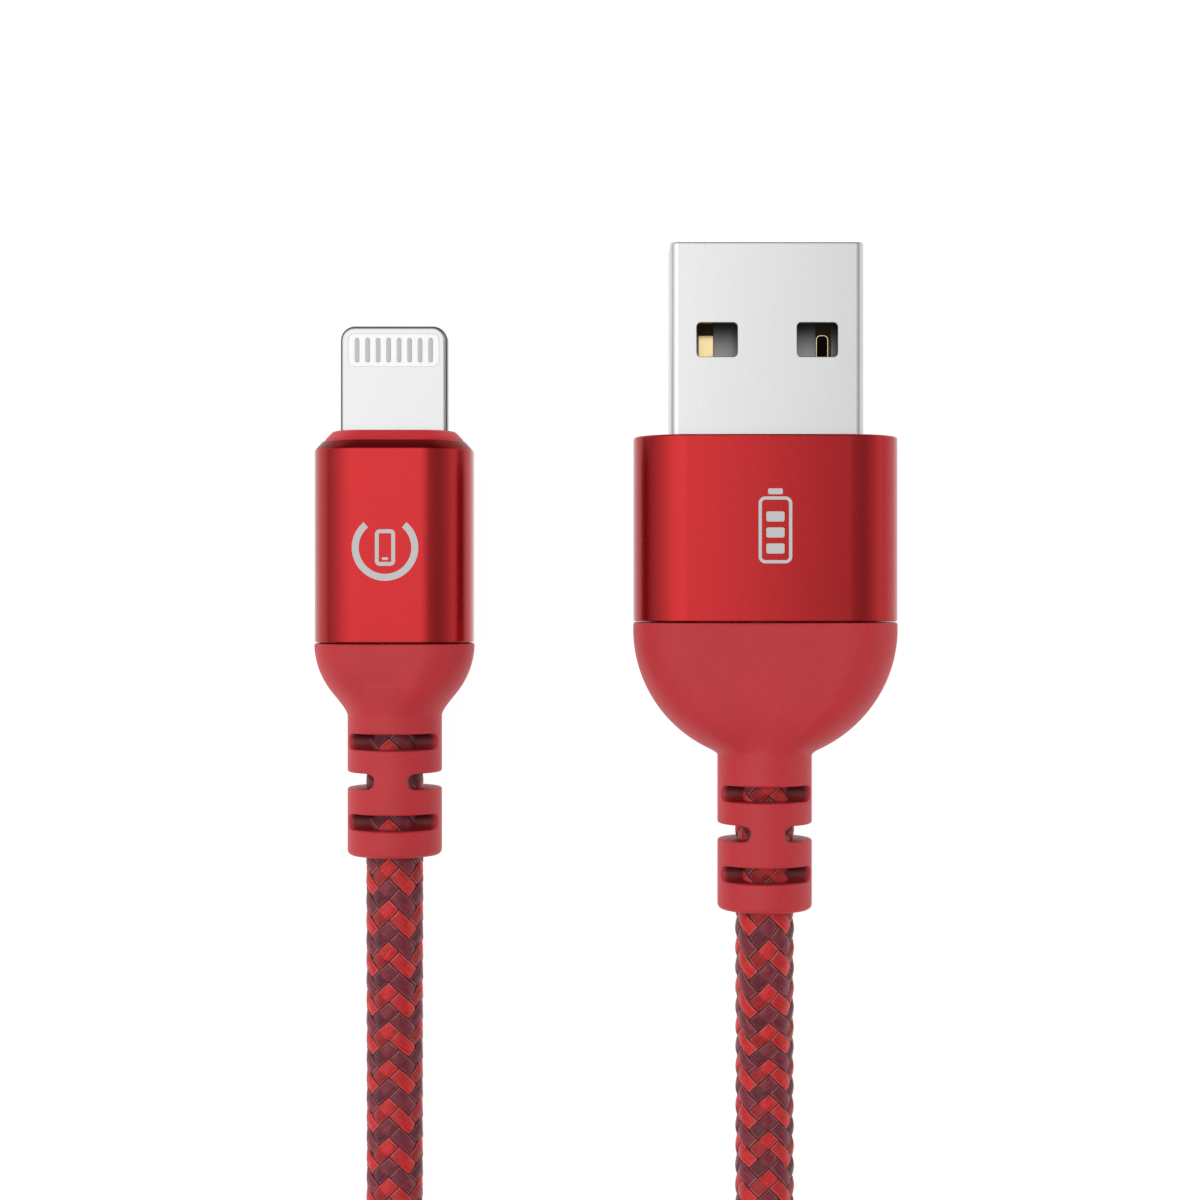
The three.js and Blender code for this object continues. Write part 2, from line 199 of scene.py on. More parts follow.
# ---------------------------------------------------------------- shader helpers
class Nodes:
    """A short way to write a node tree."""

    def __init__(self, name):
        self.mat = bpy.data.materials.new(name)
        self.mat.use_nodes = True
        self.t = self.mat.node_tree
        self.t.nodes.clear()
        self.out = self.t.nodes.new("ShaderNodeOutputMaterial")
        self.bsdf = self.t.nodes.new("ShaderNodeBsdfPrincipled")
        self.t.links.new(self.bsdf.outputs[0], self.out.inputs[0])

    def put(self, socket, value):
        if isinstance(value, bpy.types.NodeSocket):
            self.t.links.new(value, socket)
        else:
            socket.default_value = value

    def math(self, op, a, b=None, c=None, clamp=False):
        n = self.t.nodes.new("ShaderNodeMath")
        n.operation = op
        n.use_clamp = clamp
        for i, v in enumerate((a, b, c)):
            if v is not None:
                self.put(n.inputs[i], v)
        return n.outputs[0]

    def step(self, x, a, b, lo=0.0, hi=1.0):
        n = self.t.nodes.new("ShaderNodeMapRange")
        n.interpolation_type = "SMOOTHSTEP"
        for i, v in enumerate((x, a, b, lo, hi)):
            self.put(n.inputs[i], v)
        return n.outputs[0]

    def mixf(self, f, a, b):
        n = self.t.nodes.new("ShaderNodeMix")
        n.data_type = "FLOAT"
        self.put(n.inputs[0], f)
        self.put(n.inputs[2], a)
        self.put(n.inputs[3], b)
        return n.outputs[0]

    def mixc(self, f, a, b, mode="MIX"):
        n = self.t.nodes.new("ShaderNodeMix")
        n.data_type = "RGBA"
        n.blend_type = mode
        self.put(n.inputs[0], f)
        for i, v in ((6, a), (7, b)):
            if isinstance(v, tuple):
                v = tuple(v)[:3] + (1.0,)
            self.put(n.inputs[i], v)
        return n.outputs[2]

    def combine(self, x, y, z):
        n = self.t.nodes.new("ShaderNodeCombineXYZ")
        for i, v in enumerate((x, y, z)):
            self.put(n.inputs[i], v)
        return n.outputs[0]

    def noise(self, vector, scale, detail=2.0, rough=0.5):
        n = self.t.nodes.new("ShaderNodeTexNoise")
        if vector is not None:
            self.put(n.inputs["Vector"], vector)
        n.inputs["Scale"].default_value = scale
        n.inputs["Detail"].default_value = detail
        n.inputs["Roughness"].default_value = rough
        return n.outputs["Fac"]

    def coord(self):
        return self.t.nodes.new("ShaderNodeTexCoord").outputs["Object"]

    def mapping(self, vector, scale):
        n = self.t.nodes.new("ShaderNodeMapping")
        self.put(n.inputs["Vector"], vector)
        n.inputs["Scale"].default_value = scale
        return n.outputs[0]

    def bump(self, height, strength, distance, normal=None):
        n = self.t.nodes.new("ShaderNodeBump")
        n.inputs["Strength"].default_value = strength
        n.inputs["Distance"].default_value = distance
        self.put(n.inputs["Height"], height)
        if normal is not None:
            self.put(n.inputs["Normal"], normal)
        return n.outputs[0]

    def set(self, **kw):
        for k, v in kw.items():
            s = self.bsdf.inputs[k.replace("_", " ")]
            if isinstance(v, tuple) and len(v) == 3 and s.type == "RGBA":
                v = v + (1.0,)
            self.put(s, v)
        return self.mat


def lin(r, g, b):
    """An 8-bit screen colour as linear light."""
    return tuple((c / 255 / 12.92) if c <= 10 else ((c / 255 + 0.055) / 1.055) ** 2.4 for c in (r, g, b))


def grained(name, colour, rough, grain=9000, bump=0.12, vary=0.05, metal=0.0, coat=0.0, coat_rough=0.2, sheen=0.0, spec=0.5, cloud=350, painted_slot_shade=False):
    """A moulded, blasted or cast surface: fine grain in bump and roughness, and a slow drift of tone."""
    g = Nodes(name)
    p = g.coord()
    fine = g.noise(p, grain, 3.0, 0.6)
    slow = g.noise(p, cloud, 2.0, 0.5)
    f = g.math("ADD", g.math("MULTIPLY", g.math("SUBTRACT", fine, 0.5), vary * 2), g.math("MULTIPLY", g.math("SUBTRACT", slow, 0.5), vary))
    dark = tuple(c * (1 - 2 * vary) for c in colour)
    light = tuple(min(1.0, c * (1 + 2 * vary)) for c in colour)
    col = g.mixc(g.math("ADD", f, 0.5, clamp=True), dark, light)
    if painted_slot_shade:  # painted shade: the mesh marks its cut slots, and the colour there is darkened for the shade inside them
        a = g.t.nodes.new("ShaderNodeAttribute")
        a.attribute_name = "painted_slot_shade"
        col = g.mixc(a.outputs["Fac"], col, tuple(c * 0.05 for c in colour))
    g.set(
        Base_Color=col,
        Roughness=g.step(fine, 0.2, 0.8, max(0.02, rough - 0.05), rough + 0.05),
        Metallic=metal,
        Normal=g.bump(fine, bump, 0.00002),
    )
    g.set(Coat_Weight=coat, Coat_Roughness=coat_rough, Sheen_Weight=sheen, Specular_IOR_Level=spec)
    return g.mat


RED_ANODISED = (0.395, 0.011, 0.014)
m_anodised = grained("red_anodised", RED_ANODISED, 0.245, grain=11000, bump=0.2, vary=0.09, metal=1.0, coat=0.34, coat_rough=0.24)
m_polished_and_shade = grained("red_anodised_polished_and_shade", (0.21, 0.0015, 0.003), 0.36, grain=14000, bump=0.03, vary=0.03, metal=1.0, coat=0.06, coat_rough=0.2)
m_boot = grained("red_boot", (0.59, 0.033, 0.043), 0.50, grain=7500, bump=0.8, vary=0.2, sheen=0.0, spec=0.36, painted_slot_shade=True)
m_collar = grained("red_collar", (0.69, 0.019, 0.030), 0.45, grain=10000, bump=0.2, vary=0.06, spec=0.38)
m_white = grained("insulator_white", (0.96, 0.96, 0.96), 0.35, grain=9000, bump=0.03, vary=0.006, metal=0.28)
m_pad = grained("pad_metal", (0.50, 0.50, 0.50), 0.40, grain=16000, bump=0.06, vary=0.03, metal=0.5)
m_grey = grained("insulator_grey", (0.24, 0.24, 0.25), 0.45, grain=9000, bump=0.1, vary=0.04)
m_gold = grained("contact_gold", (0.80, 0.63, 0.33), 0.30, grain=16000, bump=0.05, vary=0.03, metal=1.0)
m_mould = grained("inner_mould", (0.62, 0.59, 0.54), 0.55, grain=7000, bump=0.15, vary=0.04)
m_brass = grained("ferrule_brass", (0.62, 0.42, 0.18), 0.34, grain=9000, bump=0.1, vary=0.06, metal=1.0)
m_board = grained("board_green", (0.02, 0.13, 0.05), 0.40, grain=5000, bump=0.1, vary=0.08, coat=0.5)
m_chip = grained("chip_black", (0.02, 0.02, 0.022), 0.45, grain=9000, bump=0.1, vary=0.1)
m_can = grained("can_steel", (0.72, 0.72, 0.73), 0.30, grain=9000, bump=0.08, vary=0.04, metal=1.0)
m_mark = grained("mark_grey", (0.66, 0.645, 0.645), 0.50, grain=12000, bump=0.05, vary=0.02)
m_wires = [
    grained("wire_" + n, c, 0.42, grain=8000, bump=0.08, vary=0.04)
    for n, c in [("red", (0.5, 0.015, 0.015)), ("white", (0.8, 0.8, 0.79)), ("green", (0.02, 0.30, 0.05)), ("black", (0.015, 0.015, 0.016))]
]


def steel_material(name, low, high):
    """Stamped stainless sheet: a satin face with faint rolling lines along the plug."""
    g = Nodes(name)
    p = g.coord()
    fine = g.noise(p, 15000, 2.0, 0.6)
    lines = g.noise(g.mapping(p, (9000, 500, 9000)), 1.0, 2.0, 0.5)
    slow = g.noise(p, 180, 1.0, 0.5)
    tone = g.math("ADD", g.math("MULTIPLY", g.math("SUBTRACT", slow, 0.5), 0.35), g.math("MULTIPLY", g.math("SUBTRACT", lines, 0.5), 0.12))
    g.set(
        Base_Color=g.mixc(g.math("ADD", tone, 0.5, clamp=True), (low, low, low * 1.005), (high, high, high)),
        Metallic=1.0,
        Roughness=g.step(fine, 0.2, 0.8, 0.24, 0.33),
        Normal=g.bump(g.math("ADD", fine, g.math("MULTIPLY", lines, 0.5)), 0.02, 0.00002),
    )
    return g.mat


m_steel = steel_material("plug_steel", 0.60, 0.66)
m_tab = steel_material("tab_steel", 0.525, 0.56)
# painted shade: a much darker copy of the tab's steel for its side faces
m_flank_painted_shade = steel_material("tab_steel_flank_painted_shade", 0.075, 0.10)


def braid_material():
    """The braid's strands from its UV map: U counts strands round the cord and V steps along it."""
    g = Nodes("red_braid")
    uvn = g.t.nodes.new("ShaderNodeUVMap")
    uvn.uv_map = "braid"
    sep = g.t.nodes.new("ShaderNodeSeparateXYZ")
    g.t.links.new(uvn.outputs[0], sep.inputs[0])
    U, V = sep.outputs[0], sep.outputs[1]
    u, v = g.math("ADD", U, V), g.math("SUBTRACT", U, V)
    i, j = g.math("FLOOR", u), g.math("FLOOR", v)
    isA = g.math("LESS_THAN", g.math("FLOORED_MODULO", g.math("ADD", i, j), 4.0), 1.5)
    tA, tB = g.math("SUBTRACT", g.math("SUBTRACT", u, i), 0.5), g.math("SUBTRACT", g.math("SUBTRACT", v, j), 0.5)
    qA = g.math("FLOORED_MODULO", g.math("ADD", i, v), 4.0)
    qB = g.math("FLOORED_MODULO", g.math("SUBTRACT", g.math("ADD", u, j), 2.0), 4.0)
    t, q = g.mixf(isA, tB, tA), g.mixf(isA, qB, qA)
    strand = g.mixf(isA, g.math("ADD", j, 0.37), i)
    pA = g.math("FLOORED_MODULO", i, 2.0)
    pB = g.math("FLOORED_MODULO", g.math("ADD", j, 1.0), 2.0)
    dark = g.mixf(isA, pB, pA)
    at = g.math("ABSOLUTE", t)
    end = g.math("MINIMUM", q, g.math("SUBTRACT", 2.0, q))
    # filaments along the strand
    seed = g.math("MULTIPLY", strand, 7.31)
    fil = g.noise(g.combine(g.math("MULTIPLY", t, 26.0), g.math("MULTIPLY", q, 1.6), seed), 1.0, 3.0, 0.65)
    broad = g.noise(g.combine(g.math("MULTIPLY", t, 7.0), g.math("MULTIPLY", q, 1.2), g.math("ADD", seed, 3.7)), 1.0, 1.0, 0.5)
    gap = g.math("MAXIMUM", g.step(at, 0.44, 0.495), g.step(end, 0.0, 0.07, 1.0, 0.0))
    # painted highlight mask: the sides and ends of each float
    rim = g.math("MULTIPLY", g.math("MAXIMUM", g.math("MULTIPLY", g.step(at, 0.36, 0.42), 0.5), g.step(end, 0.07, 0.16, 1.0, 0.0)), g.math("SUBTRACT", 1.0, gap))
    fs = g.step(fil, 0.30, 0.70)
    bright = g.mixc(fs, (0.38, 0.002, 0.004), (0.92, 0.026, 0.029))
    maroon = g.mixc(fs, (0.068, 0.003, 0.008), (0.36, 0.028, 0.056))
    col = g.mixc(dark, bright, maroon)
    # painted shade: the half of each float before its crease is darkened, standing in for the shade on that slope
    half = g.step(q, 0.97, 1.03)
    tone = g.mixf(half, g.mixf(isA, 0.80, 0.48), 1.0)
    col = g.mixc(tone, g.mixc(dark, (0.06, 0.002, 0.003), (0.02, 0.002, 0.004)), col)
    col = g.mixc(g.step(broad, 0.3, 0.7, 0.0, 0.18), col, g.mixc(dark, (0.72, 0.055, 0.055), (0.25, 0.048, 0.07)))
    # painted highlight: a pale pink line along the sides and ends of each float
    col = g.mixc(g.math("MULTIPLY", rim, 0.34), col, (0.80, 0.30, 0.30))
    # painted shade: the gaps between strands are coloured near black, for the shade down between them
    col = g.mixc(g.math("MULTIPLY", gap, 0.92), col, (0.018, 0.005, 0.008))
    height = g.math("ADD", g.math("MULTIPLY", fil, 0.45), g.math("MULTIPLY", gap, -1.0))
    g.set(
        Base_Color=col,
        Roughness=g.step(fil, 0.2, 0.8, 0.34, 0.50),
        Normal=g.bump(height, 0.8, 0.00005),
    )
    g.set(Metallic=0.0, Specular_IOR_Level=0.38, Sheen_Weight=0.06, Sheen_Roughness=0.3)
    return g.mat


m_braid = braid_material()


def strap_material():
    """Hook-and-loop band: short loops with a woven ground."""
    g = Nodes("tie_strap")
    p = g.coord()
    loops = g.noise(p, 4200, 4.0, 0.7)
    rows = g.noise(g.mapping(p, (600, 5200, 600)), 1.0, 2.0, 0.5)
    f = g.math("ADD", g.math("MULTIPLY", loops, 0.7), g.math("MULTIPLY", rows, 0.3))
    g.set(
        Base_Color=g.mixc(g.step(f, 0.35, 0.65), (0.012, 0.010, 0.011), (0.055, 0.048, 0.050)),
        Roughness=0.85,
        Normal=g.bump(f, 0.8, 0.00025),
    )
    g.set(Sheen_Weight=0.6, Sheen_Roughness=0.5)
    return g.mat


m_strap = strap_material()


# ---------------------------------------------------------------- braid shape
def braid_height(U, V):
    """Height of the braid's surface over its crowns, in millimetres (0 at a crown and below elsewhere)."""
    u, v = U + V, U - V
    i, j = np.floor(u), np.floor(v)
    A = np.mod(i + j, 4) < 1.5
    t = np.where(A, u - i, v - j) - 0.5
    q = np.where(A, np.mod(i + v, 4), np.mod(u + j - 2, 4))
    at, end = np.abs(t), np.minimum(q, 2 - q)
    h = -0.135 * np.abs(q - 1) ** 1.2 - 0.035 * (at / 0.42) ** 2
    h -= 0.10 * sstep(at, 0.40, 0.5) + 0.09 * (1 - sstep(end, 0.0, 0.14))
    return h


# ---------------------------------------------------------------- the free cord's route (the route of part.mjs)
R0, PITCH, HALF, WAIST, XC, TOP = 10.85, 3.66, 24.25, 4.4, -1.625, -45.36
YM = TOP - HALF - 20.05


def hank_line(n=60):
    P = []

    def kz(turn, ph, u):
        LO, HI, NEST = 1.82, 5.46, 5.0
        if turn <= 2:
            k, z = [2, 1, 0][turn], LO
        else:
            k, z = [0.5, 1.5][turn - 3], NEST
        if turn < 2 and ph == 3:
            k = k - ramp((u - 0.3) / 0.7)
        if turn == 2 and ph == 2 and u > 0.78:
            z = LO + (HI - LO) * ramp((u - 0.78) * 48.5 / 22.5)
        if turn == 2 and ph == 3:
            z = LO + (HI - LO) * ramp((0.22 * 48.5 + u * 34) / 22.5)
            k = 0.5 * ramp((u - 0.1) / 0.9)
        if turn >= 3:
            if ph == 0:
                z = HI - (HI - NEST) * ramp(u / 0.3)
            if ph == 2:
                z = NEST + (HI - NEST) * ramp((u - 0.64) / 0.14)
                k = k + 0.75 * ramp((u - 0.70) / 0.30)
            if ph == 3:
                z = HI
                k = 1.25 + 0.25 * ramp(u)
        return k, z

    for turn in range(5):
        for ph in range(4):
            if turn == 4 and ph == 3:
                break
            for i in range(n):
                u = i / n
                k, z = kz(turn, ph, u)
                off = k * PITCH
                if ph in (0, 2):
                    y = HALF * (1 - 2 * u) if ph == 0 else -HALF * (1 - 2 * u)
                    s = abs(y) / HALF
                    w = R0 - WAIST * (1 - ramp(s))
                    dw = WAIST * (math.sin(math.pi * min(s, 1)) * math.pi / 2) / HALF * (1 if y >= 0 else -1)
                    nx, ny = 1 / math.hypot(1, dw), -dw / math.hypot(1, dw)
                    x, yy = w + off * nx, y + off * ny
                    if ph == 0:
                        x = -x
                    z = z + 0.85 * (1 - ramp((abs(y) - 4) / 16))
                elif ph == 1:
                    a = math.pi * (1 + u)
                    x, yy = (R0 + off) * math.cos(a), -HALF + (R0 + off) * math.sin(a)
                else:
                    a = math.pi * u
                    x, yy = (R0 + off) * math.cos(a), HALF + (R0 + off) * math.sin(a)
                P.append((XC + x, YM + yy, z))
    P.append((XC + R0 + 2.25 * PITCH, YM + HALF, 5.46))
    return np.array(P, float)


def route():
    ytop, yS = YM + HALF, -39.9
    A, y0, X1, xt = [], PHONE_AT[1] + PHONE_END + 0.3, PHONE_AT[0], XC - (R0 + 2 * PITCH)
    for y in np.arange(y0, ytop + 0.3, -0.8):
        z = 3.45 - (3.45 - 1.82) * ramp((y0 - 1.5 - y) / 13.5)
        lean = (X1 + 0.325) * (3.45 - z) / 135.85 * (1 - ramp((-42.0 - y) / 8))
        A.append((X1 + lean + (xt - X1) * ramp((yS - y) / (yS - ytop - 3)), y, z))
    B, y0, X2, xt = [], USB_AT[1] + USB_END + 0.3, USB_AT[0], XC + (R0 + 2.25 * PITCH)
    for y in np.arange(y0, ytop + 0.3, -0.8):
        z = 3.9 - (3.9 - 2.3) * ramp((-21.3 - y) / 9.7) + (5.46 - 2.3) * ramp((-31.0 - y) / 15.5)
        lean = (X2 + 0.325) * (3.9 - z) / 135.4 * (1 - ramp((-42.0 - y) / 8))
        B.append((X2 + lean + (xt - X2) * ramp((yS - y) / (yS - ytop)), y, z))
    pts = np.concatenate([np.array(A), hank_line(), np.array(B)[::-1]])
    keep = [0]
    for i in range(1, len(pts)):
        if np.linalg.norm(pts[i] - pts[keep[-1]]) > 0.12:
            keep.append(i)
    pts = pts[keep]
    for _ in range(3):  # one smooth curve
        q = pts.copy()
        q[1:-1] = 0.25 * pts[:-2] + 0.5 * pts[1:-1] + 0.25 * pts[2:]
        q[:14], q[-14:] = pts[:14], pts[-14:]
        pts = q
    return pts


line = route()
along = np.concatenate([[0], np.cumsum(np.linalg.norm(np.diff(line, axis=0), axis=1))])
total = along[-1]


def catmull(s):
    """Points on the route at distances s."""
    k = np.clip(np.searchsorted(along, s) - 1, 0, len(line) - 2)
    f = ((s - along[k]) / (along[k + 1] - along[k]))[:, None]
    p0, p1 = line[np.maximum(k - 1, 0)], line[k]
    p2, p3 = line[k + 1], line[np.minimum(k + 2, len(line) - 1)]
    return 0.5 * (2 * p1 + (p2 - p0) * f + (2 * p0 - 5 * p1 + 4 * p2 - p3) * f ** 2 + (3 * p1 - p0 - 3 * p2 + p3) * f ** 3)


# Braid phases at both plugs: U0 turns the braid about the cord, and V0 slides it along.
PH_U0, PH_V0 = 1.172, -1.026
US_U0, US_V0 = 0.894, -0.230


def braid_tube(name, centres, tangents, down, side, mat, at=(0, 0, 0)):
    """A closed braided tube. centres: ring centres; down: distance of each ring below its plug's strain relief;
    side: a table of counts (points in each ring, which change along the tube), regime (0 for rings laid out from the
    phone plug, 1 from the USB plug) and other (each ring's distance below the other plug's relief)."""
    rings, faces, uvs, start = [], [], [], 0
    counts = side["counts"]
    regime = side["regime"]
    up = np.array([0.0, 0.0, 1.0])
    info = []
    for k, (c, T) in enumerate(zip(centres, tangents)):
        n = counts[k]
        S = np.cross(up, T)
        S /= np.linalg.norm(S)
        W = np.cross(T, S)
        th = 2 * np.pi * np.arange(n) / n
        sg = 1.0 if regime[k] == 0 else -1.0
        U0 = PH_U0 if regime[k] == 0 else US_U0
        V0 = PH_V0 if regime[k] == 0 else US_V0
        U = sg * CARRIERS * th / (2 * np.pi) + U0
        V = down[k] / PICK + V0
        r = CORD_R + braid_height(U, np.full(n, V))
        P = c + r[:, None] * (np.sin(th)[:, None] * S + np.cos(th)[:, None] * W)
        rings.append(P)
        info.append((n, start))
        start += n
    verts = np.concatenate(rings)

    def uv_of(k, i, reg):
        n = info[k][0]
        sg, U0, V0 = (1.0, PH_U0, PH_V0) if reg == 0 else (-1.0, US_U0, US_V0)
        d = down[k] if regime[k] == reg else side["other"][k]
        return (sg * CARRIERS * i / n + U0, d / PICK + V0)

    for k in range(len(rings) - 1):
        n, a0 = info[k]
        m, b0 = info[k + 1]
        reg = regime[k + 1] if regime[k] != regime[k + 1] else regime[k]
        if n == m:
            u0, v0 = uv_of(k, 0, reg)
            u1 = uv_of(k, 1, reg)[0]
            v1 = uv_of(k + 1, 0, reg)[1]
            du = u1 - u0
            for i in range(n):
                jn = (i + 1) % n
                faces.append((a0 + i, b0 + i, b0 + jn, a0 + jn))
                ua, ub = u0 + du * i, u0 + du * (i + 1)
                uvs += [ua, v0, ua, v1, ub, v1, ub, v0]
        else:
            i = jj = 0
            while i < n or jj < m:
                if jj >= m or (i < n and (i + 1) / n <= (jj + 1) / m):
                    faces.append((a0 + i % n, b0 + jj % m, a0 + (i + 1) % n))
                    uvs += [*uv_of(k, i, reg), *uv_of(k + 1, jj, reg), *uv_of(k, i + 1, reg)]
                    i += 1
                else:
                    faces.append((a0 + i % n, b0 + jj % m, b0 + (jj + 1) % m))
                    uvs += [*uv_of(k, i, reg), *uv_of(k + 1, jj, reg), *uv_of(k + 1, jj + 1, reg)]
                    jj += 1
    for k, flip in ((0, False), (len(rings) - 1, True)):
        n, a0 = info[k]
        loop = list(range(n))
        if flip:
            loop = loop[::-1]
        faces.append(tuple(a0 + i for i in loop))
        for i in loop:
            uvs += list(uv_of(k, i, regime[k]))
    o = make(name, verts, faces, mat, at, uv=uvs)
    return o


FINE, COARSE = 0.137, 0.42
VIS_A, VIS_B = 23.6, 20.2  # how far each plug's cord can be seen in the photograph
s_vals = np.concatenate([
    np.arange(0, VIS_A, FINE),
    np.arange(VIS_A, total - VIS_B, COARSE),
    total - np.arange(0, VIS_B, FINE)[::-1],
])
centres = catmull(np.clip(s_vals, 0, total))
tang = np.gradient(centres, axis=0)
tang /= np.linalg.norm(tang, axis=1)[:, None]
# where the two halves of the braid meet: under the strap
near = [k for k in range(len(s_vals)) if abs(centres[k][1] - YM) < 0.4 and 0.45 * total < s_vals[k] < 0.62 * total]
split = near[0]
regime = [0 if k < split else 1 for k in range(len(s_vals))]


def seen_steps(c, s, at, end, reach):
    """Distance along the cord for its braid: as the photograph shows it near the plug, and the real distance beyond."""
    flat = (at[1] + end + 1.4) - (c[:, 1] + 1.4) * (139.3 - at[2]) / (139.3 - c[:, 2])
    edge = np.interp(reach, s, flat)
    return np.where(s <= reach, flat, edge + (s - reach))


down_a = seen_steps(centres, s_vals, PHONE_AT, PHONE_END, VIS_A)
down_b = seen_steps(centres[::-1], (total - s_vals)[::-1], USB_AT, USB_END, VIS_B)[::-1]
counts = [80 if (s < VIS_A or s > total - VIS_B) else 28 for s in s_vals]
down = [down_a[k] if regime[k] == 0 else down_b[k] for k in range(len(s_vals))]
other = [down_b[k] if regime[k] == 0 else down_a[k] for k in range(len(s_vals))]
cord = braid_tube("braided_cord", centres, tang, down, {"counts": counts, "regime": regime, "other": other}, m_braid)
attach(cord, "cable")
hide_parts("cord_hank", "cord_run_usb", "cord_run_phone")


# The cord inside each strain relief, from its ferrule to the relief's end.
def entry(name, at, top, end, reg, body, node):
    ys = np.arange(top, end + 0.30, -0.137)
    cs = np.array([[0, y, 0] for y in ys])
    ts = np.array([[0, -1.0, 0] if reg == 0 else [0, 1.0, 0]] * len(ys))
    if reg == 1:
        cs = cs[::-1]
        ys = ys[::-1]
    dn = [end - y for y in ys]
    o = braid_tube(name, cs, ts, dn, {"counts": [72] * len(ys), "regime": [reg] * len(ys), "other": dn}, m_braid, at)
    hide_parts(node)
    return o


entry_usb = entry("cord_in_usb_relief", USB_AT, -2.2, USB_END, 1, "usb_plug", "usb_cord_entry")
entry_phone = entry("cord_in_phone_relief", PHONE_AT, -0.8, PHONE_END, 0, "phone_plug", "phone_cord_entry")


# ---------------------------------------------------------------- boots
def ray_rr(theta, a, b, r):
    """Distance from the centre to a rounded rectangle's edge along each angle."""
    lo, hi = np.zeros_like(theta), np.full_like(theta, 14.0)
    c, s = np.abs(np.cos(theta)), np.abs(np.sin(theta))
    for _ in range(40):
        mid = (lo + hi) / 2
        qx, qz = mid * c - (a - r), mid * s - (b - r)
        d = np.hypot(np.maximum(qx, 0), np.maximum(qz, 0)) + np.minimum(np.maximum(qx, qz), 0) - r
        inside = d < 0
        lo, hi = np.where(inside, mid, lo), np.where(inside, hi, mid)
    return (lo + hi) / 2


def smax(a, b, k):
    h = np.clip(0.5 + 0.5 * (a - b) / k, 0, 1)
    return b + (a - b) * h + k * h * (1 - h)


def smin(a, b, k):
    return -smax(-a, -b, k)


def boot(name, at, A, B, bulb_r, bulb_start, nexp, sleeve_r, slots, end, pocket, fillet, body, node, N=176):
    RELIEF = 2.965
    th = 2 * np.pi * (np.arange(N) + 0.5) / N
    c, s = np.abs(np.cos(th)), np.abs(np.sin(th))

    def bulb(y):
        t = min(max((bulb_start - y) / bulb_r, 0), 0.9995)
        a = A * math.sqrt(1 - t * t)
        b = B * (1 - t ** nexp) ** (1 / nexp)
        r = sleeve_r + (min(a, b) - sleeve_r) * t
        r = min(r, a * 0.995, b * 0.995)
        return ray_rr(th, a, b, r)

    def outer(y):
        inset = 0.0
        if y > -0.14:
            f = (y + 0.14) / 0.14
            inset = 0.14 * (1 - math.sqrt(max(0, 1 - f * f)))
        base = bulb(y) - inset
        rel = RELIEF
        if y < end + 0.32:
            f = (end + 0.32 - y) / 0.32
            rel = RELIEF - 0.32 * (1 - math.sqrt(max(0, 1 - f * f)))
        if y < bulb_start - 0.5 * bulb_r:
            base = smax(base, np.full(N, rel), fillet)
        if y < bulb_start - bulb_r * 0.999:
            base = np.full(N, rel)
        for k, ys in enumerate(slots):
            d = abs(y - ys)
            if d < 0.5 + 0.13:
                if d <= 0.5:
                    z = 1.03 + 0.5 - math.sqrt(max(0.0, 0.25 - d * d)) if d < 0.5 else 1.53
                    w = np.minimum(z / np.maximum(s if k != 1 else c, 1e-3), 9.0)
                    cut = smin(base, w, 0.10)
                    base = np.maximum(np.minimum(cut, base), 1.34)
                else:
                    # a soft lip on the parts that the slot cuts
                    e = 0.13 - (d - 0.5)
                    lip = 0.13 * (1 - math.sqrt(max(0, 1 - (e / 0.13) ** 2)))
                    w = 1.53 / np.maximum(s if k != 1 else c, 1e-3)
                    base = base - lip * sstep(base - w, 0.0, 0.35)
        return base

    ys = list(np.array([0, -0.012, -0.03, -0.06, -0.10, -0.14, -0.18]))
    ys += [bulb_start - bulb_r * math.sin(b) for b in np.linspace(0.02 if bulb_start < -0.1 else 0.05, math.pi / 2 * 0.92, 46)]
    low = ys[-1]
    ys = [y for y in ys if y <= 0]
    marks = []
    for y0 in slots:
        for d in (0.5, 0.4995, 0.49, 0.47, 0.43, 0.37, 0.29, 0.2, 0.1, 0.0, 0.505, 0.52, 0.545, 0.58, 0.64, 0.72):
            marks += [y0 + d, y0 - d]
    fill = list(np.arange(low - 0.12, end + 0.34, -0.2))
    fill = [y for y in fill if all(abs(y - m) > 0.06 for m in marks)]
    tail = [end + 0.32, end + 0.26, end + 0.19, end + 0.12, end + 0.06, end + 0.02, end]
    marks = [m for m in marks if m > end + 0.34]
    ys = sorted(set(round(float(y), 5) for y in ys + marks + fill + tail), reverse=True)
    rings = []
    for y in ys:
        r = outer(y)
        rings.append(np.stack([r * np.cos(th), np.full(N, y), r * np.sin(th)], 1))
    # end face, bore, pocket
    def circ(r, y):
        return np.stack([r * np.cos(th), np.full(N, y), r * np.sin(th)], 1)
    rings.append(circ(2.25, end - 0.0))
    rings.append(circ(2.02, end + 0.0))
    rings.append(circ(1.93, end + 0.06))
    rings.append(circ(1.90, end + 0.30))
    rings.append(circ(1.25, end + 0.55))
    rings.append(circ(1.25, pocket))
    rings.append(circ(2.60, pocket + 0.05))
    rings.append(circ(2.60, -0.6))
    rings.append(circ(2.75, -0.02))
    verts, faces = rings_mesh([list(map(tuple, r)) for r in rings], closed=True)
    o = fix_normals(make(name, verts, faces, m_boot, at, sharp=52))
    co = np.zeros(len(o.data.vertices) * 3)
    o.data.vertices.foreach_get("co", co)
    co = co.reshape(-1, 3) / MM - np.array(at)
    rad = np.hypot(co[:, 0], co[:, 2])
    slot_shade_paint = np.zeros(len(co))
    # painted shade: darker deeper below the relief's surface and towards the plug's end of each slot
    for ys in slots:
        d = (co[:, 1] - ys) / 0.5
        slot_shade_paint = np.maximum(slot_shade_paint, np.where(np.abs(d) < 1.01, sstep(RELIEF - rad, 0.0, 0.32) * (0.80 + 0.20 * np.clip(d, -1, 1)), 0))
    o.data.attributes.new("painted_slot_shade", "FLOAT", "POINT").data.foreach_set("value", slot_shade_paint.astype(np.float32))
    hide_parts(node)
    return o


